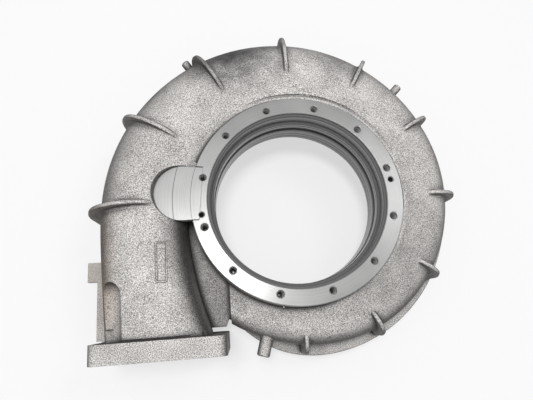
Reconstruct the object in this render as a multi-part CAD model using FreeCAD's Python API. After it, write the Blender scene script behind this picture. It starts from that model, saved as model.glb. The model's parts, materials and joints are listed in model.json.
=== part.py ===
import FreeCAD, Part
import math
import os

# Turbine housing of a turbocharger: one casting. Millimetres, +Z up.
# Origin on the bore axis, at the machined face of the bolting ring.
# The gas inlet flange faces -Y. The part rests on its rear joint face.

V = FreeCAD.Vector
Z_AXIS = V(0, 0, 1)

# Bolting ring, machined, facing +Z
RING_R = 112.75          # outer radius of the ring
RING_DEPTH = 42.0        # how far the collar below the ring reaches
BOLT_PCD = 205.0         # pitch circle of the ring's bolts
BOLT_COUNT = 12
BOLT_FIRST = 15.0        # angle of the first bolt hole, degrees
M8_TAP_R = 3.4           # tapping radius of the ring's bolt holes
M8_TAP_DEPTH = 20.0
HOLE_CHAMFER = 1.0       # countersink of every tapped hole
PIN_R = 2.6              # two small holes beside the bolt holes
PIN_DEPTH = 14.0
PIN_ANGLES = (7.5, 187.5)

# Bore through the ring, from the top down
RIM_R = 95.2             # shallow recess at the mouth
RIM_DEPTH = 2.8
REGISTER_R = 92.3        # register for the bearing housing
REGISTER_DEPTH = 17.0
WALL_R = 89.2            # machined wall below the ledge
WALL_DEPTH = 26.6
GROOVE_R = 93.2          # seal groove
GROOVE_DEPTH = 32.4
BORE_R = 88.6            # main bore, down to the throat lip
LIP_DEPTH = 53.0
EDGE = 0.8               # chamfer of machined edges
VALLEY_R = 117.6         # cast valley round the ring
VALLEY_SIZE = 1.7

# Throat, the ring-shaped slot that feeds the wheel
THROAT_TOP = -55.0
THROAT_LOW = -71.0
THROAT_R = 104.0

# Rear joint, the face the housing rests on
REAR_Z = -112.0
REAR_R = 134.0
REAR_MOUTH_R = 116.0
REAR_MOUTH_DEPTH = 6.0
REAR_SEAT_R = 113.0
SHROUD_R = 100.0         # ledge below the throat
SHROUD_Z = -80.0
REAR_PCD = 250.0
REAR_TAP_DEPTH = 16.0

# Scroll: its section shrinks from the inlet round to the tongue
TONGUE = -140.0          # angle at which the section would reach nothing
TAIL_END = -133.0        # last section of the casting's outside
PASSAGE_END = -116.0     # last section of the passage
TAIL_FACE_X = -77.5      # where the tail stops above the web
TAIL_WIDTH = 37.0        # width the tail keeps as it runs into the tongue
INLET = 180.0            # section where the straight duct joins
SCROLL_IN_R = 110.0      # inner edge of every section
SCROLL_A = 52.0          # half width at the inlet
FULLNESS = 3.4           # extra radius between 40 and 180 degrees
CREST_LOW = -30.0        # crest height at -90 degrees
CREST_RISE = 43.0        # crest rise from -90 to 180 degrees
MID_LOW = -52.0          # height of the section's middle at -90 degrees
MID_RISE = 6.0
WALL = 6.5               # wall of the scroll
NECK_LOW = -82.0         # underside of the scroll beside the throat

# Duct and inlet flange
FLANGE_X = -147.0
FLANGE_Z = -48.0
FLANGE_W = 131.0
FLANGE_H = 116.0
FLANGE_T = 19.0
FLANGE_FACE = -152.3
FLANGE_CORNER = 10.0
FLANGE_BACK = FLANGE_FACE + FLANGE_T
INLET_BOLT_X = 103.0     # spacing across
INLET_BOLT_Z = 89.0      # spacing in height
INLET_BOLT_R = 5.5
SPOT_R = 10.5
RELIEF = 2.4             # milled relief behind the flange
DUCT_END = -146.0
MOUTH_W = 84.0           # gas opening in the flange face
MOUTH_H = 78.0

# Ribs, rim and shelf
RIB_T = 4.6
RIB_H = 9.5
RIB_START = 140.0
RIB_CREST = 1.6          # rounding of the crest's two edges
RIB_ROOT = 3.0           # cast fillet at the foot of a rib
RIM_ROUND = 2.0          # rounding of the rim's and the shelf's edges
BOSS_ROOT = 2.0          # cast fillet round a boss
RIM_TOP = -75.0
RIM_T = 8.0
RIM_OUT = 13.0           # rim beyond the scroll's own radius
SHELF_X = -228.0
LUG_X = -239.0

# Lobe pad left of the ring
LOBE_X = -121.0
LOBE_Y = 11.0
LOBE_R = 29.0
LOBE_GAP = 1.0
LOBE_MOAT = 1.6          # depth of the outline milled round the pad
LOBE_BACK = 9.0          # metal kept behind the pad
STEP_R = 131.0
STEP = 0.4


def blend(stations, angle):
    """Height at an angle, eased between the stations of a short list."""
    if angle <= stations[0][0]:
        return stations[0][1]
    for (a0, h0), (a1, h1) in zip(stations, stations[1:]):
        if angle <= a1:
            s = (angle - a0) / (a1 - a0)
            s = s * s * (3.0 - 2.0 * s)
            return h0 + (h1 - h0) * s
    return stations[-1][1]


def shoulder_height(angle):
    """Height of the cast surface where it meets the ring's edge."""
    return blend([(-140, -35), (-90, -28), (-58, -14), (-34, -1.0), (80, -0.8),
                  (110, -2.0), (140, -4.5), (180, -7)], angle)


def scroll_numbers(angle):
    """Centre radius, centre height, half width and half height of a section."""
    share = (angle - TONGUE) / (INLET - TONGUE)
    width = 2.0 * SCROLL_A * math.sqrt(share)
    width = (width ** 10 + TAIL_WIDTH ** 10) ** 0.1
    if angle > 40.0:
        width += FULLNESS * math.sin(math.pi * (angle - 40.0) / 140.0)
    half = width / 2.0
    turn = (angle + 90.0) / 270.0
    mid = MID_LOW + MID_RISE * turn
    crest = CREST_LOW + CREST_RISE * turn
    return SCROLL_IN_R + half, mid, half, crest - mid


def oval(centre, mid, half, tall, power, phi):
    """A point of a rounded rectangle whose corners sharpen with power."""
    c = math.cos(math.radians(phi))
    s = math.sin(math.radians(phi))
    x = centre + half * math.copysign(abs(c) ** (2.0 / power), c)
    z = mid + tall * math.copysign(abs(s) ** (2.0 / power), s)
    return x, z


ROUND = [100 - 20 * k for k in range(11)]


def hull(points, foot, up):
    """Lift an outline to the straight line that touches it from a foot point."""
    fr, fz = foot
    slopes = [up * (z - fz) / (r - fr) for r, z in points if r > fr + 1]
    steep = max(slopes)
    touch = [r for r, z in points if r > fr + 1 and up * (z - fz) / (r - fr) >= steep - 1e-9][0]
    lifted = []
    for r, z in points:
        line = fz + up * steep * (r - fr)
        lifted.append((r, line) if fr < r < touch else (r, z))
    return lifted


def scroll_outline(angle):
    """Closed outer outline of a scroll section, as radius and height."""
    rc, mid, half, tall = scroll_numbers(angle)
    side = shoulder_height(angle)
    edge = RING_R + 0.2
    body = [oval(rc, mid, half, tall, 2.0, p) for p in ROUND]
    first, last = body[0], body[-1]
    head = [(edge + (first[0] - edge) * s, first[1]) for s in (0.35, 0.7)]
    tail = [(edge + (last[0] - edge) * s, last[1]) for s in (0.7, 0.35)]
    upper = head + body[:5]
    lower = body[6:] + tail
    upper = hull([(r, z if k > 1 else -200.0) for k, (r, z) in enumerate(upper)], (edge, side), 1)
    lower = [(r, z if k < len(lower) - 2 else 200.0) for k, (r, z) in enumerate(lower)]
    lower = hull(lower[::-1], (edge, NECK_LOW), -1)[::-1]
    top = [(97.0, side - 1.0), (105.0, side - 0.2), (edge, side)]
    low = [(edge, NECK_LOW), (105.0, NECK_LOW), (97.0, NECK_LOW), (95.0, -60.0)]
    return top + upper + [body[5]] + lower + low


def scroll_passage(angle):
    """Closed outline of the flow passage inside a scroll section."""
    rc, mid, half, tall = scroll_numbers(angle)
    side = shoulder_height(angle)
    body = [oval(rc, mid, half - WALL, tall - WALL, 2.0, p) for p in ROUND]
    r1, z1 = body[0]
    r2, z2 = body[-1]
    edge = 114.5
    roof = min(side - 12.0, z1)
    top = [(96.0, THROAT_TOP - 1.0), (101.0, THROAT_TOP + 1.0),
           (107.5, (roof + THROAT_TOP) / 2.0 - 3.0), (edge, roof - 6.0)]
    top.append((edge + (r1 - edge) * 0.5, (z1 + roof) / 2.0))
    low = [(edge + (r2 - edge) * 0.5, z2 + (THROAT_LOW - 3.0 - z2) * 0.35)]
    low += [(edge, THROAT_LOW - 2.0), (107.5, THROAT_LOW - 0.5),
            (101.0, THROAT_LOW), (96.0, THROAT_LOW + 1.0), (93.5, -63.0)]
    return top + body + low


INNER = [166, 154, 142, 130, 116]


def duct_outline(y, inside):
    """Closed outline of the duct at a given y, outside or inside its wall."""
    s = max(0.0, min(1.0, -y / 134.0))
    left = 213.4 - 4.4 * s
    right = 110.6 + 9.4 * (1.0 - math.exp(-s / 0.08)) - 23.0 * s ** 2.2
    tall = 58.4 - 6.9 * s
    mid = -46.0 - 0.5 * s
    power = 2.0 + 1.8 * s ** 0.7
    lean = 11.0 * s
    if inside:
        grow = s
        left -= WALL + grow * (209.0 + FLANGE_X - MOUTH_W / 2.0 - WALL)
        right += WALL + grow * (-FLANGE_X - MOUTH_W / 2.0 - 97.0 - WALL)
        tall -= WALL + grow * (51.5 - MOUTH_H / 2.0 - WALL)
        mid += grow * (FLANGE_Z - mid)
        power = 2.0 + 1.2 * s
        lean *= 0.5 * (1.0 - s)
    centre = (left + right) / 2.0
    half = (left - right) / 2.0
    phis = INNER + ROUND + [-p for p in reversed(INNER)] + [180]
    points = []
    for p in phis:
        r, z = oval(centre, mid, half, tall, power, p)
        outward = max(0.0, (r - centre) / half)
        upward = max(0.0, (z - mid) / tall)
        points.append((r - lean * outward * upward, z))
    return points


def shares(outlines):
    """Common parameters for a set of outlines, from their mean chord lengths."""
    count = len(outlines[0])
    total = [0.0] * (count + 1)
    for points in outlines:
        run = 0.0
        for k in range(count):
            run += math.dist(points[k], points[(k + 1) % count])
            total[k + 1] += run
    return [t / total[-1] for t in total]


def ring_wire(points, place, params):
    """A smooth closed wire through the points of an outline."""
    curve = Part.BSplineCurve()
    curve.interpolate(Points=[place(r, z) for r, z in points], PeriodicFlag=True,
                      Parameters=params)
    return Part.Wire([curve.toShape()])


def at_angle(angle):
    c = math.cos(math.radians(angle))
    s = math.sin(math.radians(angle))
    return lambda r, z: V(r * c, r * s, z)


def at_y(y):
    return lambda r, z: V(-r, y, z)


SCROLL_STATIONS = [-112, -90, -65, -40, -15, 15, 45, 75, 105, 130, 150, 166, 180]


def loft(outlines, places):
    """Solid through outlines, all divided by the same parameters."""
    params = shares(outlines)
    wires = [ring_wire(o, p, params) for o, p in zip(outlines, places)]
    return Part.makeLoft(wires, True, False, False, 3)


def round_part(section, last):
    """Loft through the sections of the scroll, ending at its last angle."""
    angles = [a for a in reversed(SCROLL_STATIONS) if a > last + 10] + [last]
    return loft([section(a) for a in angles], [at_angle(a) for a in angles])


def straight_part(inside, mouth_y):
    """Loft of the duct; it starts just inside the scroll."""
    ys = [mouth_y, -128, -104, -78, -52, -30, -12, 8]
    return loft([duct_outline(y, inside) for y in ys], [at_y(y) for y in ys])


def turned(profile):
    """Solid of revolution about the bore axis from radius and height pairs."""
    pts = [V(r, 0, z) for r, z in profile]
    face = Part.Face(Part.makePolygon(pts + [pts[0]]))
    return face.revolve(V(0, 0, 0), Z_AXIS, 360)


def ring_collar():
    return turned([(80, 0), (RING_R - EDGE, 0), (RING_R, -EDGE), (RING_R, -RING_DEPTH),
                   (RING_R - 4, -RING_DEPTH - 8), (RING_R - 4, NECK_LOW), (80, NECK_LOW)])


def rear_collar():
    return turned([(90, NECK_LOW + 6), (REAR_R - 8, NECK_LOW + 6), (REAR_R - 2, NECK_LOW - 2),
                   (REAR_R, NECK_LOW - 8), (REAR_R, REAR_Z + EDGE), (REAR_R - EDGE, REAR_Z),
                   (90, REAR_Z)])


def bore_cut():
    top = 30.0
    return turned([(0, top), (RIM_R + EDGE, top), (RIM_R + EDGE, 0), (RIM_R, -EDGE),
                   (RIM_R, -RIM_DEPTH), (REGISTER_R + EDGE, -RIM_DEPTH),
                   (REGISTER_R, -RIM_DEPTH - EDGE), (REGISTER_R, -REGISTER_DEPTH),
                   (WALL_R + EDGE, -REGISTER_DEPTH), (WALL_R, -REGISTER_DEPTH - EDGE),
                   (WALL_R, -WALL_DEPTH), (GROOVE_R, -WALL_DEPTH), (GROOVE_R, -GROOVE_DEPTH),
                   (BORE_R, -GROOVE_DEPTH), (BORE_R, -LIP_DEPTH), (BORE_R + 3, -LIP_DEPTH - 2),
                   (THROAT_R - 6, THROAT_TOP), (THROAT_R, THROAT_TOP + 0.6),
                   (THROAT_R, THROAT_LOW - 0.4), (SHROUD_R + 2, THROAT_LOW),
                   (SHROUD_R, THROAT_LOW - 2), (SHROUD_R, SHROUD_Z), (REAR_SEAT_R, SHROUD_Z),
                   (REAR_SEAT_R, REAR_Z + REAR_MOUTH_DEPTH), (REAR_MOUTH_R, REAR_Z + REAR_MOUTH_DEPTH),
                   (REAR_MOUTH_R, REAR_Z - 5), (0, REAR_Z - 5)])


def flange_block():
    w = FLANGE_W / 2.0
    h = FLANGE_H / 2.0
    box = Part.makeBox(FLANGE_W, FLANGE_T, FLANGE_H, V(FLANGE_X - w, FLANGE_FACE, FLANGE_Z - h))
    long_edges = [e for e in box.Edges
                  if abs(e.Vertexes[0].Point.y - e.Vertexes[1].Point.y) > FLANGE_T - 1]
    return box.makeFillet(FLANGE_CORNER, long_edges)


def inlet_bolts():
    """Centres of the flange's four bolts."""
    return [(FLANGE_X + sx * INLET_BOLT_X / 2.0, FLANGE_Z + sz * INLET_BOLT_Z / 2.0)
            for sx in (-1, 1) for sz in (-1, 1)]


def flange_cuts():
    """Bolt holes, their spotfaces and the room a spanner needs above them."""
    cuts = []
    spot_depth = 14.0
    for x, z in inlet_bolts():
        cuts.append(Part.makeCylinder(INLET_BOLT_R, FLANGE_T + 8, V(x, FLANGE_FACE - 4, z), V(0, 1, 0)))
        cuts.append(Part.makeCylinder(SPOT_R, spot_depth, V(x, FLANGE_BACK - 1.2, z), V(0, 1, 0)))
    x, z = inlet_bolts()[1]
    r = SPOT_R + 3.5
    x += 4.0
    z += 5.5
    cuts.append(Part.makeCylinder(r, 44, V(x, FLANGE_BACK, z), V(0, 1, 0)))
    cuts.append(Part.makeSphere(r, V(x, FLANGE_BACK + 44, z)))
    return cuts


def relief_cut():
    """Milled relief along the back of the flange, above the duct."""
    w = FLANGE_W / 2.0
    return Part.makeBox(FLANGE_W, RELIEF, 30, V(FLANGE_X - w, FLANGE_BACK, 1.5))


def rib_profile(angle):
    """Face of one rib in the plane through the bore axis at this angle."""
    rc, mid, half, tall = scroll_numbers(angle)
    place = at_angle(angle)
    start = RIB_START + (9.0 if angle > 170 else 0.0)
    height = RIB_H + (3.0 if angle > 170 else 0.0)
    phi0 = math.degrees(math.acos(max(-0.9, min(0.9, (start - rc) / half))))
    pts = []
    for k in range(9):
        phi = phi0 * (1 - k / 8.0)
        r, z = oval(rc, mid, half, tall, 2.0, phi)
        nx = math.cos(math.radians(phi)) / half
        nz = math.sin(math.radians(phi)) / tall
        n = math.hypot(nx, nz)
        rise = height * min(1.0, 1.15 * math.sin(math.pi / 2.0 * k / 8.0) ** 0.8) - 0.8 * (k == 0)
        pts.append(place(r + rise * nx / n, z + rise * nz / n))
    top = Part.BSplineCurve()
    top.interpolate(pts)
    outer = rc + half + height
    foot = RIM_TOP - RIM_T / 2.0
    corner = [pts[-1], place(outer, foot), place(rc, foot), place(rc, mid), pts[0]]
    edges = [top.toShape()]
    edges += [Part.makeLine(p, q) for p, q in zip(corner, corner[1:])]
    return Part.Face(Part.Wire(edges))


def rib(angle):
    a = math.radians(angle)
    side = V(-math.sin(a), math.cos(a), 0)
    face = rib_profile(angle)
    face.translate(side * (-RIB_T / 2.0))
    fin = face.extrude(side * RIB_T)
    crest = [e for e in fin.Edges if e.Curve.TypeId == "Part::GeomBSplineCurve"]
    return fin.makeFillet(RIB_CREST, crest)


RIB_ANGLES = [180 - 30 * k for k in range(10)]
SHARP_RIBS = [-60]       # the rib that crosses the thin end of the scroll has no root fillet


def rib_roots(body, angle):
    """Long edges where the flanks of a rib meet the scroll."""
    a = math.radians(angle)
    side = V(-math.sin(a), math.cos(a), 0)
    along = V(math.cos(a), math.sin(a), 0)
    roots = []
    for edge in body.Edges:
        if edge.Length < 50:
            continue
        faces = body.ancestorsOfType(edge, Part.Face)
        flanks = [f for f in faces if f.Surface.TypeId == "Part::GeomPlane"]
        if len(faces) != 2 or len(flanks) != 1:
            continue
        flank = flanks[0]
        skin = [f for f in faces if not f.isSame(flank)][0]
        middle = flank.CenterOfMass
        square = abs(flank.normalAt(0, 0).dot(side)) > 0.999
        near = abs(abs(middle.dot(side)) - RIB_T / 2.0) < 0.1 and middle.dot(along) > 0
        toward_duct = angle < 180 or middle.dot(side) > 0
        if square and near and toward_duct and skin.Area > 5000:
            roots.append(edge)
    return roots


def ribbed(body):
    """Body with its ribs, each with a cast fillet along its root."""
    for angle in RIB_ANGLES:
        body = body.fuse(rib(angle))
    for angle in RIB_ANGLES:
        if angle not in SHARP_RIBS:
            body = body.makeFillet(RIB_ROOT, rib_roots(body, angle))
    return body


def rim_radius(angle):
    rc, mid, half, tall = scroll_numbers(angle)
    out = RIM_OUT * min(1.0, max(0.02, (angle + 116.0) / 22.0)) ** 0.8
    return rc + half + out


def rim():
    """Flat rim that follows the scroll below its middle."""
    angles = [-115, -108, -100, -88] + [-70 + 20 * k for k in range(13)]
    outer = [at_angle(a)(rim_radius(a), RIM_TOP) for a in angles]
    inner = [at_angle(a)(scroll_numbers(a)[0], RIM_TOP) for a in angles]
    c1 = Part.BSplineCurve()
    c1.interpolate(outer)
    c2 = Part.BSplineCurve()
    c2.interpolate(inner)
    edges = [c1.toShape(), Part.makeLine(outer[-1], inner[-1]), c2.toShape(),
             Part.makeLine(inner[0], outer[0])]
    face = Part.Face(Part.Wire(Part.__sortEdges__(edges)))
    strip = face.extrude(V(0, 0, -RIM_T))
    outer_edges = [e for e in strip.Edges if e.Length > 2.5 * RING_R]
    longest = max(e.Length for e in outer_edges)
    return strip.makeFillet(RIM_ROUND, [e for e in outer_edges if e.Length > longest - 1.0])


def shelf():
    """Shelf with its lug, beside the duct at the level of the rim."""
    pts = [(-190, FLANGE_BACK + 0.0), (SHELF_X, FLANGE_BACK + 0.0), (SHELF_X, -68), (LUG_X, -68),
           (LUG_X, -46), (-200, -46)]
    pts = [V(x, y, RIM_TOP) for x, y in pts]
    plate = Part.Face(Part.makePolygon(pts + [pts[0]])).extrude(V(0, 0, -RIM_T))
    foot = Part.makeBox(30, 6, 14, V(SHELF_X + 6, FLANGE_BACK - 3, RIM_TOP - RIM_T - 6))
    return plate.fuse(foot)


def web():
    """Sloping web that fills the crotch between duct, ring and tail."""
    outline = [(-150, 0), (-100, 0), (-60, -88), (-80, -118), (-84, -127.5), (-150, -127.5)]
    low = Part.Face(Part.makePolygon([V(x, y, NECK_LOW) for x, y in outline + [outline[0]]]))
    block = low.extrude(V(0, 0, 70))
    slope = Part.makeBox(200, 220, 80, V(-200, -170, 0))
    slope.rotate(V(0, 0, 0), V(1, 0, 0), 14.0)
    slope.translate(V(0, 0, -30))
    return block.cut(slope)


def boss(angle, z, r0, r1, radius, chamfer):
    """Round boss standing out along a radius."""
    a = math.radians(angle)
    d = V(math.cos(a), math.sin(a), 0)
    c = Part.makeCylinder(radius, r1 - r0, d * r0 + V(0, 0, z), d)
    rims = [e for e in c.Edges if isinstance(e.Curve, Part.Circle)
            and (e.Curve.Center - d * r1 - V(0, 0, z)).Length < 0.1]
    return c.makeChamfer(chamfer, rims)


def boss_root(body, radius, angle):
    """Edge where a boss meets the scroll."""
    a = math.radians(angle)
    d = V(math.cos(a), math.sin(a), 0)
    roots = []
    for edge in body.Edges:
        faces = body.ancestorsOfType(edge, Part.Face)
        rounds = [f for f in faces if f.Surface.TypeId == "Part::GeomCylinder"]
        if len(faces) != 2 or len(rounds) != 1:
            continue
        skin = [f for f in faces if not f.isSame(rounds[0])][0]
        on_boss = abs(rounds[0].Surface.Radius - radius) < 0.01
        along = abs(rounds[0].Surface.Axis.dot(d)) > 0.999 and rounds[0].CenterOfMass.dot(d) > 0
        if on_boss and along and skin.Area > 5000:
            roots.append(edge)
    return roots


BOSSES = [(45, -38, 175, 200, 4.8, 0.8), (-106, -50, 132, 167, 7.0, 1.2)]


def bossed(body):
    """Body with its round bosses; the one beside a rib has no room for a fillet."""
    for angle, z, r0, r1, radius, chamfer in BOSSES:
        body = body.fuse(boss(angle, z, r0, r1, radius, chamfer))
        body = body.makeFillet(BOSS_ROOT, boss_root(body, radius, angle))
    return body.fuse(boss(122.8, -33, 190, 216, 4.8, 0.8))


def lobe_outline(grow):
    """Outline of the pad left of the ring, grown outward on every side."""
    r = LOBE_R + grow
    top = V(LOBE_X, LOBE_Y + r, 0)
    low = V(LOBE_X, LOBE_Y - r, 0)
    arc = Part.Arc(top, V(LOBE_X - r, LOBE_Y, 0), low).toShape()
    q1 = V(-104, LOBE_Y - r, 0)
    q2 = V(-98, LOBE_Y + r - 2.5, 0)
    edges = [arc, Part.makeLine(low, q1), Part.makeLine(q1, q2), Part.makeLine(q2, top)]
    return Part.Face(Part.Wire(edges))


def lobe_pocket():
    """Room milled round the pad where the scroll stands higher."""
    pocket = lobe_outline(LOBE_GAP).extrude(V(0, 0, 40))
    pocket.translate(V(0, 0, -2 * STEP - LOBE_MOAT))
    return pocket


def lobe_pad():
    """Pad with its two shallow turned steps."""
    pad = lobe_outline(0.0).extrude(V(0, 0, LOBE_BACK - 2 * STEP))
    pad.translate(V(0, 0, -LOBE_BACK))
    inner = lobe_outline(0.0).extrude(V(0, 0, LOBE_BACK - STEP))
    inner.translate(V(0, 0, -LOBE_BACK))
    inner = inner.common(Part.makeCylinder(STEP_R, 60, V(0, 0, -50)))
    return pad.fuse(inner)


def lobe_backing():
    """Metal kept between the pad's pocket and the passage below it."""
    backing = lobe_outline(LOBE_GAP + 5.0).extrude(V(0, 0, LOBE_BACK - 2 * STEP - LOBE_MOAT))
    backing.translate(V(0, 0, -LOBE_BACK))
    return backing


def ring_valley():
    """Cast valley between the ring and the shoulder of the scroll."""
    return Part.makeTorus(VALLEY_R, VALLEY_SIZE, V(0, 0, -0.4 * VALLEY_SIZE), Z_AXIS)


def tail_trim():
    """Room above the web, so the tail starts with a face square to X."""
    return Part.makeBox(80, 70, 62, V(TAIL_FACE_X - 80, -140, -62))


def frame_lines(scroll):
    """Raised outline of a plain rectangle on the duct, following its surface."""
    x0, x1, y0, y1 = -147.0, -136.5, -79.5, -40.0
    t = 1.0
    outer = Part.makeBox(x1 - x0, y1 - y0, 60, V(x0, y0, -30))
    inner = Part.makeBox(x1 - x0 - 2 * t, y1 - y0 - 2 * t, 60, V(x0 + t, y0 + t, -30))
    lifted = scroll.copy()
    lifted.translate(V(0, 0, 0.6))
    return lifted.common(outer.cut(inner))


def tapped_hole(x, y, z, radius, depth, down):
    """Tapping hole with a drill point and a countersink."""
    d = V(0, 0, -1) if down else V(0, 0, 1)
    p = V(x, y, z)
    hole = Part.makeCylinder(radius, depth, p, d)
    point = Part.makeCone(radius, radius / 3.0, radius * 0.4, p + d * depth, d)
    sink = Part.makeCone(radius + HOLE_CHAMFER, radius, HOLE_CHAMFER, p, d)
    return hole.fuse([point, sink])


def ring_holes():
    holes = []
    for k in range(BOLT_COUNT):
        a = math.radians(BOLT_FIRST + 360.0 / BOLT_COUNT * k)
        r = BOLT_PCD / 2.0
        holes.append(tapped_hole(r * math.cos(a), r * math.sin(a), 0, M8_TAP_R, M8_TAP_DEPTH, True))
        r = REAR_PCD / 2.0
        holes.append(tapped_hole(r * math.cos(a), r * math.sin(a), REAR_Z, M8_TAP_R,
                                 REAR_TAP_DEPTH, False))
    for angle in PIN_ANGLES:
        a = math.radians(angle)
        r = BOLT_PCD / 2.0
        holes.append(tapped_hole(r * math.cos(a), r * math.sin(a), 0, PIN_R, PIN_DEPTH, True))
    return holes


def build():
    scroll = round_part(scroll_outline, TAIL_END)
    scroll = scroll.cut(tail_trim())
    duct = straight_part(False, DUCT_END)
    skin = scroll.fuse(duct)
    print("scroll", duct.isValid(), scroll.isValid(), round(scroll.Volume / 1000))
    parts = [ring_collar(), rear_collar(), flange_block(), web(), rim(), shelf()]
    parts.append(boss(-102.3, -2.6, 108, 115, 1.2, 0.3))
    parts.append(frame_lines(duct))
    body = bossed(ribbed(skin))
    print("ribs", body.isValid(), len(body.Solids), round(body.Volume / 1000))
    body = body.fuse(parts)
    print("outer", body.isValid(), len(body.Solids), round(body.Volume / 1000))
    body = body.cut(ring_valley())
    body = body.cut(lobe_pocket())
    print("pocket", body.isValid(), len(body.Solids), round(body.Volume / 1000))
    body = body.cut(round_part(scroll_passage, PASSAGE_END))
    print("passage", body.isValid(), len(body.Solids), round(body.Volume / 1000))
    body = body.cut(straight_part(True, FLANGE_FACE - 4))
    print("hollow", body.isValid(), len(body.Solids), round(body.Volume / 1000))
    body = body.fuse(lobe_backing().common(skin))
    body = body.fuse(lobe_pad())
    print("pad", body.isValid(), len(body.Solids), round(body.Volume / 1000))
    body = body.cut([bore_cut()])
    print("bore", body.isValid(), len(body.Solids), round(body.Volume / 1000))
    body = body.cut(relief_cut())
    for tool in flange_cuts():
        body = body.cut(tool)
    print("flange", body.isValid(), len(body.Solids), round(body.Volume / 1000))
    body = body.cut(ring_holes())
    print("holes", body.isValid(), len(body.Solids), round(body.Volume / 1000))
    return body


os.makedirs("parts", exist_ok=True)
housing = build()
if housing.ShapeType != "Solid":
    solids = sorted(housing.Solids, key=lambda s: -s.Volume)
    print("solids", [round(s.Volume) for s in solids])
    housing = solids[0]
box = housing.BoundBox
print("box", round(box.XMin, 1), round(box.XMax, 1), round(box.YMin, 1), round(box.YMax, 1),
      round(box.ZMin, 1), round(box.ZMax, 1))
housing.exportStep("parts/turbine_housing.step")
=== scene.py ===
# %% [markdown]
# # Turbine housing of a turbocharger
#
# The real object is one iron casting. A scroll winds round a bored eye, thin ribs
# stand across it, and a straight duct leads from a rectangular flange into it. Only the
# ring round the eye, the lobe beside it, the bore, the flange's face and the rear joint
# are machined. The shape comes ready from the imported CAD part, so this lesson starts by
# loading it. It then makes the iron, cuts the threads and sets up the picture.

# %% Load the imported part
import json
from math import cos, pi, radians, sin

import bpy
from mathutils import Matrix, Vector


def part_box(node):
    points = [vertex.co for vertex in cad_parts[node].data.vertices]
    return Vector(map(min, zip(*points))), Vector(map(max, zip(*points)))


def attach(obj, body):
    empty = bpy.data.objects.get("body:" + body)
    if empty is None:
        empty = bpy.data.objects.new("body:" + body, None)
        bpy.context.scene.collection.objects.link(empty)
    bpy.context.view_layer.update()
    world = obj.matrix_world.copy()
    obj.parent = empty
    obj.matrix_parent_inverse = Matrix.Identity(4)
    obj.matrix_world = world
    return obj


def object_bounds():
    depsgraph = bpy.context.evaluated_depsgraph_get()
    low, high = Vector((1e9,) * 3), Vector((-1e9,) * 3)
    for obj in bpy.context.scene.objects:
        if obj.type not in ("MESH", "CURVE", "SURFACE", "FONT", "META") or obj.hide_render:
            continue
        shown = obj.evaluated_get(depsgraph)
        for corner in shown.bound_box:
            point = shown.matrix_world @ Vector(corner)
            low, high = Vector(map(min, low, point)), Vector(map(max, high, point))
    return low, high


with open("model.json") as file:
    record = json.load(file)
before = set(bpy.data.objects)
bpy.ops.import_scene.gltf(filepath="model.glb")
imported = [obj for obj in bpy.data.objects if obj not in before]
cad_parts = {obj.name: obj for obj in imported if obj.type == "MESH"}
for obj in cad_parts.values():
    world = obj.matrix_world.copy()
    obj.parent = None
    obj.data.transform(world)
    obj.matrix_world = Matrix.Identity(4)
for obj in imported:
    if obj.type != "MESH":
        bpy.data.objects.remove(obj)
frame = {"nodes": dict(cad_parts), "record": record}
cad_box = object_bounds()
housing = frame["nodes"]["turbine_housing"]
print("nodes:", sorted(frame["nodes"]), "triangles:", len(housing.data.polygons))

# %% [markdown]
# The record that is packed with the part says where its faces and bolt holes are. The
# other machined places are found by where they lie, so their sizes are named once here,
# as a drawing would give them. The bore's axis is Z and the ring's face is at height 0.

# %% Name the machined places
MM = 0.001
mounts = {mount["name"]: mount for mount in frame["record"]["mounts"]}
FLANGE_FACE_Y = mounts["inlet_face"]["pos_m"][1]
REAR_FACE_Z = mounts["rear_face"]["pos_m"][2]
RING_CIRCLE = mounts["ring_bolts"]["dims"]["pcd_mm"] / 2 * MM
REAR_CIRCLE = mounts["rear_bolts"]["dims"]["pcd_mm"] / 2 * MM
RING_RADIUS = 112.75 * MM
RIM_RADIUS = 96.2 * MM
LOBE_CENTRE = Vector((-121 * MM, 11 * MM, 0))
LOBE_RADIUS = 29 * MM
STEP_RADIUS = 131 * MM
REAR_MOUTH_RADIUS = 116.3 * MM
THROAT = (-71.5 * MM, -60 * MM)
low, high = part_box("turbine_housing")
print("part reaches from", [round(v, 4) for v in low], "to", [round(v, 4) for v in high])
print("flange face at y =", FLANGE_FACE_Y, "rear face at z =", REAR_FACE_Z)

# %% [markdown]
# ## Shader maths
#
# A material here is an expression over the surface: how near a point is to the ring,
# how deep it lies in the bore, how the sand of the mould left it. The nodes could be
# wired by hand, but dozens of them are hard to follow. A small class wraps a socket
# instead, so that an expression reads as plain arithmetic and adds its own Math nodes.

# %% Wrap sockets so that they add up like numbers
def plug(tree, value, socket):
    """Link a wire into the socket, or set the socket to a plain value."""
    if isinstance(value, Wire):
        tree.links.new(value.socket, socket)
    else:
        socket.default_value = value


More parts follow.
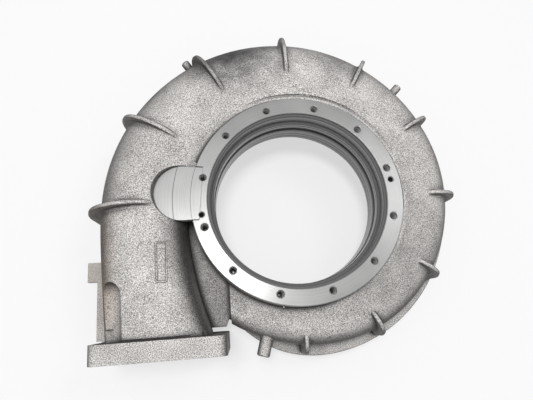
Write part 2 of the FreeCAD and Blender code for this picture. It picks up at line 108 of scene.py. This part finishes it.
class Wire:
    """A socket in one node tree, with arithmetic on it."""

    def __init__(self, tree, socket):
        self.tree = tree
        self.socket = socket

    def _math(self, operation, *values):
        node = self.tree.nodes.new("ShaderNodeMath")
        node.operation = operation
        for value, socket in zip(values, node.inputs):
            plug(self.tree, value, socket)
        return Wire(self.tree, node.outputs[0])

    def __add__(self, other):
        return self._math("ADD", self, other)

    __radd__ = __add__

    def __sub__(self, other):
        return self._math("SUBTRACT", self, other)

    def __rsub__(self, other):
        return self._math("SUBTRACT", other, self)

    def __mul__(self, other):
        return self._math("MULTIPLY", self, other)

    __rmul__ = __mul__

    def above(self, edge):
        return self._math("GREATER_THAN", self, edge)

    def below(self, edge):
        return self._math("LESS_THAN", self, edge)

    def between(self, low_edge, high_edge):
        return self.above(low_edge) * self.below(high_edge)

    def most(self, other):
        return self._math("MAXIMUM", self, other)

    def size(self):
        return self._math("ABSOLUTE", self)

    def length_with(self, other):
        squares = self * self + other * other
        return squares._math("SQRT", squares)


print("sockets can be added, multiplied and compared")

# %% [markdown]
# A finish is one material: it starts from the Principled shader and the place on the
# part, and it hands out the few nodes that aren't plain maths, such as noise, a soft
# ramp between two edges, and a mix of two colours. Its place is the Object coordinate,
# which stays with the metal however the part is turned.

# %% Start a material and add any other node
class Finish:
    """One material: its Principled shader, its coordinates and its helper nodes."""

    def __init__(self, name):
        self.material = bpy.data.materials.new(name)
        self.material.use_nodes = True
        self.tree = self.material.node_tree
        self.shader = self.tree.nodes["Principled BSDF"]
        self.place = self.node("ShaderNodeTexCoord", output="Object")
        self.x, self.y, self.z = self.parts(self.place)

    def node(self, kind, settings=None, inputs=None, output=0):
        made = self.tree.nodes.new(kind)
        for key, value in (settings or {}).items():
            setattr(made, key, value)
        for key, value in (inputs or {}).items():
            plug(self.tree, value, made.inputs[key])
        return Wire(self.tree, made.outputs[output])

    def parts(self, vector):
        split = self.tree.nodes.new("ShaderNodeSeparateXYZ")
        plug(self.tree, vector, split.inputs[0])
        return [Wire(self.tree, part) for part in split.outputs]

    def feed(self, **inputs):
        for key, value in inputs.items():
            plug(self.tree, value, self.shader.inputs[key.replace("_", " ")])

    def noise(self, scale, detail=2.0, roughness=0.5):
        return self.node("ShaderNodeTexNoise", {}, {"Vector": self.place, "Scale": scale,
                                                    "Detail": detail, "Roughness": roughness})

    def lathe_noise(self, position, detail, roughness=0.5):
        return self.node("ShaderNodeTexNoise", {"noise_dimensions": "1D"},
                         {"W": position, "Scale": 1.0, "Detail": detail, "Roughness": roughness})

    def ramp(self, value, low_edge, high_edge):
        return self.node("ShaderNodeMapRange", {"interpolation_type": "SMOOTHSTEP"},
                         {"Value": value, "From Min": low_edge, "From Max": high_edge})

    def mix(self, share, first, second, blend="MIX"):
        return self.node("ShaderNodeMix", {"data_type": "RGBA", "blend_type": blend},
                         {0: share, 6: first, 7: second}, output=2)

    def tint(self, share, colour, glass):
        return self.mix(share, colour, glass, "MULTIPLY")


print("a finish offers noise, ramps, mixes and tints")

# %% [markdown]
# ## The iron
#
# The casting was blasted with shot, and then some faces were turned or milled. Both
# are the same iron, so one material holds both. The faces could be given materials of
# their own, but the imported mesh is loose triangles, and a mask made from the place on
# the part follows each edge more cleanly. A face counts as machined by its height, its
# distance from the bore's axis or the lobe's centre, and the way that it faces.

# %% Find the machined faces on the ring and the lobe
EDGE = 0.15 * MM
FACE_LEVEL = (-1.0 * MM, 0.4 * MM)
FACES_UP = 0.6
iron = Finish("cast_iron_blasted")
radius = iron.x.length_with(iron.y)
lobe_x = iron.x - LOBE_CENTRE.x
lobe_y = iron.y - LOBE_CENTRE.y
lobe_distance = lobe_x.length_with(lobe_y)
along, upward = iron.parts(iron.node("ShaderNodeNewGeometry", output="Normal"))[1:]
top_level = iron.z.between(*FACE_LEVEL) * upward.above(FACES_UP)
ring = top_level * radius.below(RING_RADIUS + EDGE)
lobe_strip = lobe_x.above(0.0) * lobe_y.size().below(LOBE_RADIUS + EDGE) * radius.below(STEP_RADIUS)
lobe = top_level * lobe_distance.below(LOBE_RADIUS + EDGE).most(lobe_strip)
print("ring reaches", RING_RADIUS, "and lobe", LOBE_RADIUS, "from", tuple(LOBE_CENTRE))

# %% Find the bore, the flange's face, the rear joint and the tapped holes
UNDER_FACE = -0.9 * MM
FACES_INLET = -0.9
DUCT_EDGE_X = -60 * MM
TAP_REACH = 4 * MM
RING_TAP_FOOT = -30 * MM
REAR_TAP_FOOT = -95 * MM
HOLE_WALL = 0.8
bore_wall = iron.z.between(THROAT[1], UNDER_FACE) * radius.below(RIM_RADIUS)
rear_bore = iron.z.below(THROAT[0]) * radius.below(REAR_MOUTH_RADIUS)
inside = bore_wall.most(rear_bore)
inlet_face = iron.y.below(FLANGE_FACE_Y + EDGE) * along.below(FACES_INLET) * iron.x.below(DUCT_EDGE_X)
rear_face = iron.z.below(REAR_FACE_Z + EDGE)
ring_taps = radius.between(RING_CIRCLE - TAP_REACH, RING_CIRCLE + TAP_REACH)
ring_taps = ring_taps * iron.z.between(RING_TAP_FOOT, UNDER_FACE)
rear_taps = radius.between(REAR_CIRCLE - TAP_REACH, REAR_CIRCLE + TAP_REACH)
rear_taps = rear_taps * iron.z.below(REAR_TAP_FOOT) * upward.size().below(HOLE_WALL)
tapped = ring_taps.most(rear_taps)
machined = ring.most(lobe).most(inside).most(inlet_face).most(rear_face).most(tapped)
print("bore open between", THROAT, "where the throat is cast")

# %% [markdown]
# Blasted iron is a light warm grey with a fine grain of pale and dark specks. Faces
# that turn sideways are darkened as painted shade, since the lamps stand above, and the
# normal's height finds them; faces that turn downwards get a little less. The grain
# could be a bump alone, but under soft light it would vanish, so it is in the colour too.

# %% Colour the grain and paint shade on the flanks
SKIN_LIGHT = (0.97, 0.94, 0.915, 1)
SKIN_DARK = (0.165, 0.158, 0.153, 1)
PAINTED_FLANK_SHADE = (0.20, 0.195, 0.19, 1)
GRAIN_SHARE = 0.85
SPECK_EDGES = (0.33, 0.67)
FLANK_SLOPES = (0.42, 1.10)
UNDERSIDE_SLOPES = (0.0, 0.35)
UNDERSIDE_SHARE = 0.65
grain = iron.noise(scale=1000.0, roughness=0.65)
patches = iron.noise(scale=38.0, detail=3.0, roughness=0.55)
specks = iron.ramp(grain * GRAIN_SHARE + patches * (1 - GRAIN_SHARE), *SPECK_EDGES)
skin = iron.mix(specks, SKIN_DARK, SKIN_LIGHT)
not_under = iron.ramp(upward, *UNDERSIDE_SLOPES) * (1 - UNDERSIDE_SHARE) + UNDERSIDE_SHARE
# painted shade: faces that turn sideways are darker, those that turn downwards a little less
flank_shade = (1.0 - iron.ramp(upward, *FLANK_SLOPES)) * not_under
skin = iron.tint(flank_shade, skin, PAINTED_FLANK_SHADE)
print("skin from", SKIN_DARK[:3], "to", SKIN_LIGHT[:3])

# %% [markdown]
# Sand that burnt on to the casting left grey stains along its outer edge, and the
# duct's outer side has a warm brown bloom. Each could be mixed over the skin, but that
# would cover the grain, so each is a tint that the grain shows through. Ragged noise
# breaks the stains' outline.

# %% Stain the outer edge and warm the duct's side
STAIN = (0.10, 0.10, 0.108, 1)
STAINS = (((-66, 186), 84, 0.99), ((-166, 142), 36, 0.5), ((64, 160), 38, 0.4))
STAIN_FADE = (-95 * MM, -60 * MM)
RAGGED_WIDTH = 60 * MM
WARM = (0.76, 0.62, 0.50, 1)
WARM_SIDE = (-214 * MM, -180 * MM)
WARM_DEPTH = (-92 * MM, -45 * MM)
WARM_TOP = (15 * MM, -35 * MM)
WARM_FOOT = (-138 * MM, -105 * MM)
ragged = iron.noise(scale=55.0, detail=3.0, roughness=0.6)
for (x, y), reach, share in STAINS:
    away = (iron.x - x * MM).length_with(iron.y - y * MM) + (ragged - 0.5) * RAGGED_WIDTH
    stain = 1.0 - iron.ramp(away, 0.0, reach * MM)
    skin = iron.tint(stain * iron.ramp(iron.z, *STAIN_FADE) * share, skin, STAIN)
warm = (1.0 - iron.ramp(iron.x, *WARM_SIDE)) * iron.ramp(iron.z, *WARM_DEPTH)
warm = warm * iron.ramp(iron.y, *WARM_TOP) * iron.ramp(iron.y, *WARM_FOOT)
skin = iron.tint(warm, skin, WARM)
print("stains:", len(STAINS))

# %% [markdown]
# Where two surfaces meet in a valley, the skin is darkened as painted shade.
# Ambient Occlusion finds the valleys. One wide reach paints shade in the hollows between
# duct, ring and scroll, and two narrow ones paint it at the roots of ribs and edges. The
# narrow groove round the lobe would turn black, so it is darkened less.

# %% Paint shade into the valleys
VALLEY_SHADE = (0.055, 0.053, 0.05, 1)
REACHES = ((32 * MM, 0.25, 0.42), (9 * MM, 0.55, 1.0), (1.8 * MM, 0.55, 1.0))
FULLY_OPEN = 0.97
GROOVE_WIDTH = 8 * MM
GROOVE_FLOOR = -20 * MM
GROOVE_RELIEF = 0.75
groove = lobe_distance.between(LOBE_RADIUS, LOBE_RADIUS + GROOVE_WIDTH) * iron.z.above(GROOVE_FLOOR)
for reach, closed, share in REACHES:
    openness = iron.node("ShaderNodeAmbientOcclusion", {"samples": 8}, {"Distance": reach}, output="AO")
    # painted shade: darker where Ambient Occlusion finds the surface closed in
    painted_valley_shade = (1.0 - iron.ramp(openness, closed, FULLY_OPEN)) * (share - groove * GROOVE_RELIEF * share)
    skin = iron.mix(painted_valley_shade, skin, VALLEY_SHADE)
print("valleys darkened at", [round(reach / MM, 1) for reach, closed, share in REACHES], "mm")

# %% [markdown]
# A lathe leaves faint rings on a face. The bands down the bore follow the lathe's path,
# but their reach from nearly black to light is painted reflection: a turned bore mirrors
# its surroundings in stripes, and an empty pale room has none. Rings and bands follow a
# noise along one line, of the distance from the axis and the depth, so they run round by
# themselves. The tapped holes and the bore's step floors are painted dark as shade, and
# thin dark lines paint the shade at the lobe's steps.

# %% Colour the turned faces, with painted reflection in the bore and painted shade in holes and steps
TURNED = (0.36, 0.36, 0.357, 1)
TURNED_DULL = (0.27, 0.27, 0.267, 1)
BORE_REFLECTION_LIGHT = (0.46, 0.46, 0.455, 1)
BORE_REFLECTION_DARK = (0.05, 0.05, 0.055, 1)
HOLE_SHADE = (0.13, 0.13, 0.13, 1)
STEP_SHADE_LINE = (0.10, 0.10, 0.10, 1)
STEP_SHADE_REACH = 0.35 * MM
STEP_SHADE_SHARE = 0.8
MARK_SHARE = 0.4
TURNED_EDGES = (0.36, 0.62)
BAND_EDGES = (0.34, 0.68)
STEP_FLOOR_SLOPE = 0.7
MARKS_ACROSS, MARKS_DOWN = 1400.0, 900.0
BANDS_ACROSS, BANDS_DOWN = 260.0, 420.0
tool_marks = iron.lathe_noise(radius * MARKS_ACROSS + iron.z * MARKS_DOWN, detail=2.0)
reflection_bands = iron.lathe_noise(radius * BANDS_ACROSS + iron.z * BANDS_DOWN, detail=3.0, roughness=0.6)
broad = iron.noise(scale=14.0)
shine = iron.ramp(broad * (1 - MARK_SHARE) + tool_marks * MARK_SHARE, *TURNED_EDGES)
# painted reflection: the bore's light and dark bands stand for the surroundings it mirrors
bore_reflection = iron.mix(iron.ramp(reflection_bands, *BAND_EDGES), BORE_REFLECTION_DARK, BORE_REFLECTION_LIGHT)
turned = iron.mix(inside, iron.mix(shine, TURNED_DULL, TURNED), bore_reflection)
step_floor = inside * upward.above(STEP_FLOOR_SLOPE)
# painted shade: the tapped holes and the bore's step floors are coloured dark
turned = iron.mix(tapped.most(step_floor), turned, HOLE_SHADE)
# painted shade: thin dark lines where the lobe's steps are
ring_edge = (radius - RING_RADIUS).size().below(STEP_SHADE_REACH)
step_edge = (radius - STEP_RADIUS).size().below(STEP_SHADE_REACH)
turned = iron.mix(lobe * ring_edge.most(step_edge) * STEP_SHADE_SHARE, turned, STEP_SHADE_LINE)
print("turned faces from", TURNED_DULL[:3], "to", TURNED[:3])

# %% [markdown]
# The grain also stands out a little, as a bump, and the Bevel node rounds the edges
# that light catches, as a real casting's are. Both are cheaper than millions of faces.

# %% Feed the shader and lay the iron on the housing
GRAIN_HEIGHT = 0.5 * MM
MARK_HEIGHT = 0.05
ROUNDING = 0.7 * MM
SKIN_METALLIC = 0.1
TURNED_METALLIC = 0.4
SKIN_ROUGHNESS = 0.52
TURNED_SMOOTHER = 0.27
BORE_SMOOTHER = 0.08
STEP_ROUGHER = 0.4
GRAIN_ROUGHER = 0.1
height = (grain - 0.5) * (1.0 - machined) + tool_marks * machined * MARK_HEIGHT
rounded = iron.node("ShaderNodeBevel", {"samples": 4}, {"Radius": ROUNDING})
bump = iron.node("ShaderNodeBump", {}, {"Strength": 0.9, "Distance": GRAIN_HEIGHT,
                                        "Height": height, "Normal": rounded})
iron.feed(Base_Color=iron.mix(machined, skin, turned), Normal=bump)
metallic = machined * (TURNED_METALLIC - SKIN_METALLIC) + SKIN_METALLIC
roughness = SKIN_ROUGHNESS - machined * TURNED_SMOOTHER - inside * BORE_SMOOTHER
roughness = roughness + step_floor * STEP_ROUGHER + grain * GRAIN_ROUGHER
iron.feed(Metallic=metallic, Roughness=roughness, Specular_IOR_Level=0.15)
housing.data.materials.clear()
housing.data.materials.append(iron.material)
print("materials on", housing.name, [m.name for m in housing.data.materials])

# %% [markdown]
# ## Threads
#
# The holes of the ring and of the rear joint are tapped. The CAD leaves them plain, at
# the radius where the thread's crests end, so the thread is added here. A bump in the
# material would show no teeth along the hole's lit side, so it is modelled: a small
# triangle that a Screw modifier sweeps round the hole's axis, as many turns as the hole
# holds. It is made once, and each hole gets a copy of its own.

# %% Name the tapped holes
TAP_RADIUS = mounts["ring_bolts"]["dims"]["hole_r_mm"] * MM
RING_COUNT = mounts["ring_bolts"]["dims"]["count"]
REAR_COUNT = mounts["rear_bolts"]["dims"]["count"]
FIRST_HOLE = radians(15)
PITCH = 1.25 * MM
CREST = 0.32 * MM
STEPS_A_TURN = 18
SAME_POINT = 0.02 * MM
SMOOTH_BELOW = radians(40)
RING_HOLES = {"count": RING_COUNT, "circle": RING_CIRCLE, "start": -18.6 * MM, "turns": 13}
REAR_HOLES = {"count": REAR_COUNT, "circle": REAR_CIRCLE, "start": -110.6 * MM, "turns": 10}
print("tapped holes:", RING_COUNT + REAR_COUNT)

# %% Sweep one thread
def thread(name, turns):
    """One thread at the origin, closed at both ends, with its faces outwards."""
    bpy.ops.object.select_all(action="DESELECT")
    bpy.ops.mesh.primitive_circle_add(vertices=3, radius=CREST, fill_type="NOTHING",
                                      location=(TAP_RADIUS, 0, 0), rotation=(pi / 2, 0, 0))
    piece = bpy.context.active_object
    piece.name = name
    bpy.ops.object.transform_apply(location=True, rotation=True, scale=True)
    sweep = piece.modifiers.new("turns", "SCREW")
    sweep.axis = "Z"
    sweep.screw_offset = PITCH
    sweep.iterations = turns
    sweep.steps = STEPS_A_TURN
    sweep.render_steps = STEPS_A_TURN
    bpy.ops.object.modifier_apply(modifier="turns")
    bpy.ops.object.mode_set(mode="EDIT")
    bpy.ops.mesh.select_all(action="SELECT")
    bpy.ops.mesh.remove_doubles(threshold=SAME_POINT)
    bpy.ops.mesh.fill_holes(sides=3)
    bpy.ops.mesh.select_all(action="SELECT")
    bpy.ops.mesh.normals_make_consistent(inside=False)
    bpy.ops.object.mode_set(mode="OBJECT")
    return piece


print("a thread takes", STEPS_A_TURN, "steps a turn")

# %% Colour the threads
THREAD_DULL = (0.5, 0.5, 0.5, 1)
THREAD_BRIGHT = (0.8, 0.8, 0.79, 1)
THREAD_ROUGHNESS = 0.28
ROUGHNESS_RANGE = 0.2
cut_thread = Finish("cut_thread")
thread_colour = cut_thread.mix(cut_thread.noise(scale=900.0), THREAD_DULL, THREAD_BRIGHT)
thread_roughness = cut_thread.noise(scale=500.0) * ROUGHNESS_RANGE + THREAD_ROUGHNESS
cut_thread.feed(Base_Color=thread_colour, Metallic=0.4, Roughness=thread_roughness)
print("threads from", THREAD_DULL[:3], "to", THREAD_BRIGHT[:3])

# %% Copy the thread into every hole and join the copies
def threads(name, holes):
    """The threads of one bolt circle, as one piece with its place in its mesh."""
    pattern = thread(name + "_pattern", holes["turns"])
    copies = []
    for k in range(holes["count"]):
        angle = FIRST_HOLE + 2 * pi / holes["count"] * k
        copy = bpy.data.objects.new(f"{name}_{k}", pattern.data.copy())
        bpy.context.scene.collection.objects.link(copy)
        place = Vector((holes["circle"] * cos(angle), holes["circle"] * sin(angle), holes["start"]))
        copy.data.transform(Matrix.Translation(place))
        copies.append(copy)
    bpy.data.objects.remove(pattern)
    bpy.ops.object.select_all(action="DESELECT")
    for copy in copies:
        copy.select_set(True)
    bpy.context.view_layer.objects.active = copies[0]
    bpy.ops.object.join()
    piece = bpy.context.active_object
    piece.name = name
    bpy.ops.object.shade_smooth_by_angle(angle=SMOOTH_BELOW)
    return piece


for name, holes in (("ring_threads", RING_HOLES), ("rear_threads", REAR_HOLES)):
    piece = threads(name, holes)
    piece.data.materials.clear()
    piece.data.materials.append(cut_thread.material)
    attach(piece, "root")
    print(name, "triangles:", sum(len(p.vertices) - 2 for p in piece.data.polygons))

# %% [markdown]
# ## Floor, light and camera
#
# The part lies with its bore upright on a plain pale floor. The floor looks white to
# the camera and in reflections, but it throws less light back at the part than a white
# floor would, so the casting's lower edges keep their shade. Two floors, one for each
# purpose, would have to share a plane, so one floor tells the rays apart with the Light
# Path node.

# %% Tell the rays that show a surface from those that only light it
SEEN_BY = ("Is Camera Ray", "Is Glossy Ray", "Is Transmission Ray")


def seen_in(tree):
    """1 for rays from the camera, off a shiny face or through glass, and 0 for soft light."""
    path = tree.nodes.new("ShaderNodeLightPath")
    camera_ray, glossy_ray, clear_ray = (Wire(tree, path.outputs[ray]) for ray in SEEN_BY)
    return camera_ray.most(glossy_ray).most(clear_ray)


print("shown to:", SEEN_BY)

# %% Lay the floor
FLOOR_SIZE = 60.0
FLOOR_GAP = 0.2 * MM
FLOOR_COLOURS = ((0.25, 0.25, 0.25, 1), (0.34, 0.34, 0.34, 1))
FLOOR_GLOW = ((0, 0, 0, 1), (0.62, 0.62, 0.62, 1))
bpy.ops.object.select_all(action="DESELECT")
floor_level = cad_box[0][2] - FLOOR_GAP
bpy.ops.mesh.primitive_plane_add(size=FLOOR_SIZE, location=(0, 0, floor_level))
floor = bpy.context.active_object
floor.name = "floor"
pale = Finish("pale_floor")
seen = seen_in(pale.tree)
pale.feed(Roughness=0.9, Base_Color=pale.mix(seen, *FLOOR_COLOURS))
pale.feed(Emission_Strength=1.0, Emission_Color=pale.mix(seen, *FLOOR_GLOW))
floor.data.materials.append(pale.material)
print("floor at z =", round(floor_level, 4))

# %% [markdown]
# The photograph has soft light from above, and a glare on the ring's lower left. Two
# round lamps high over the part give both, and an even pale sky fills in. A sun lamp
# would be simpler, but its shadows are harder than those in the photograph.

# %% Hang soft lamps
MIDDLE = Vector((0.0, 0.0, -0.05))


def soft_lamp(name, place, size, power):
    """A round lamp at its place that looks at the middle of the part."""
    bpy.ops.object.light_add(type="AREA", location=place)
    lamp = bpy.context.active_object
    lamp.name = name
    lamp.data.shape = "DISK"
    lamp.data.size = size
    lamp.data.energy = power
    lamp.rotation_euler = (MIDDLE - Vector(place)).to_track_quat("-Z", "Y").to_euler()


soft_lamp("key_lamp", place=(-0.20, 0.06, 1.6), size=0.4, power=14)
soft_lamp("side_lamp", place=(0.75, 0.40, 1.5), size=0.5, power=3.5)

# %% Fill the room with even light
SKY_ON_PART = 0.45
SKY_SHOWN = 0.8
world = bpy.data.worlds.new("soft_room")
bpy.context.scene.world = world
world.use_nodes = True
background = world.node_tree.nodes["Background"]
background.inputs["Color"].default_value = (1, 1, 1, 1)
strength = seen_in(world.node_tree) * (SKY_SHOWN - SKY_ON_PART) + SKY_ON_PART
plug(world.node_tree, strength, background.inputs["Strength"])
print("sky:", SKY_ON_PART, "on the part,", SKY_SHOWN, "where it is seen")

# %% [markdown]
# The photograph was taken from almost straight above, a little towards the flange, from
# about half a metre. Place, turn and lens were worked out from the ring, its bolt
# circle and the flange, so they are written here as they came out.

# %% Stand the camera where the photographer stood
CAMERA_PLACE = (-0.0666, -0.1148, 0.4485)
CAMERA_TURNS = (-0.2507, 0.0549, 0.0730)
SENSOR_WIDTH = 36.0
LENS = 29.97
camera_data = bpy.data.cameras.new("camera")
camera = bpy.data.objects.new("camera", camera_data)
bpy.context.scene.collection.objects.link(camera)
camera_data.sensor_width = SENSOR_WIDTH
camera_data.lens = LENS
turn_x, turn_y, turn_z = (Matrix.Rotation(angle, 4, axis) for angle, axis in zip(CAMERA_TURNS, "XYZ"))
world_to_camera = turn_x @ turn_y @ turn_z
camera.matrix_world = Matrix.Translation(CAMERA_PLACE) @ world_to_camera.transposed()
bpy.context.scene.camera = camera
print("camera at", CAMERA_PLACE)

# %% [markdown]
# The Standard view shows a colour as it is written.

# %% Show colours as they are written
bpy.context.scene.view_settings.view_transform = "Standard"
print("view transform:", bpy.context.scene.view_settings.view_transform)
